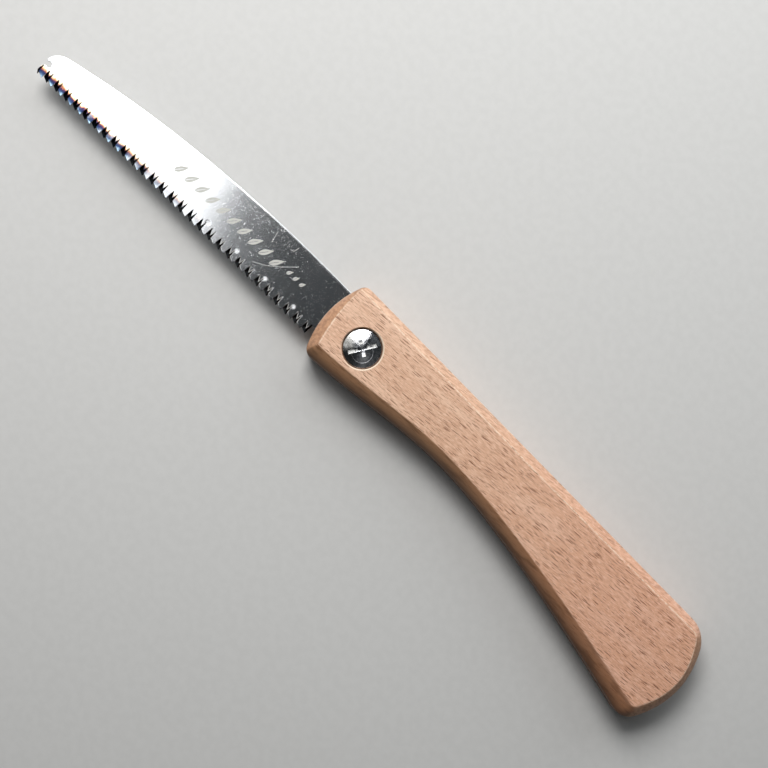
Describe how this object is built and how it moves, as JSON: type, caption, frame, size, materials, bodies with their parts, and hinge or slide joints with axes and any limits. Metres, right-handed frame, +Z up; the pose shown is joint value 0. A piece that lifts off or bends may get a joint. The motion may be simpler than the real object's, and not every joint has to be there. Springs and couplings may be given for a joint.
{
  "type": "folding pruning saw",
  "caption": "Folding pruning saw, shown open: curved steel blade with bevelled pull-stroke teeth, pivoted on a recessed binding screw in a slotted one-piece beech handle.",
  "frame": {"origin": "on the surface the open saw lies on, under the middle of its box", "axes": "+X along the saw from the blade's nose to the handle's butt, +Y from the teeth to the spine, +Z up through the handle's thickness and along the pivot"},
  "size_m": [0.395, 0.0568, 0.021],
  "materials": {
    "beech": "sanded, short dark flecks along the grain",
    "blade_steel": "polished lengthwise, teeth tinted straw to blue by hardening",
    "plated_steel": "bright nickel with fine turning marks",
    "washer_nylon": "natural, matte"
  },
  "bodies": {
    "handle": {"handle": "beech", "pivot_screw": "plated_steel", "barrel_nut": "plated_steel", "thrust_washer_upper": "washer_nylon", "thrust_washer_lower": "washer_nylon"},
    "blade": {"blade": "blade_steel"}
  },
  "joints": [
    {"name": "blade_fold", "type": "hinge", "parent": "handle", "child": "blade", "pos_m": [-0.0071, 0.0068, 0.0105], "axis": [0, 0, 1], "range_deg": [0, 178]}
  ]
}
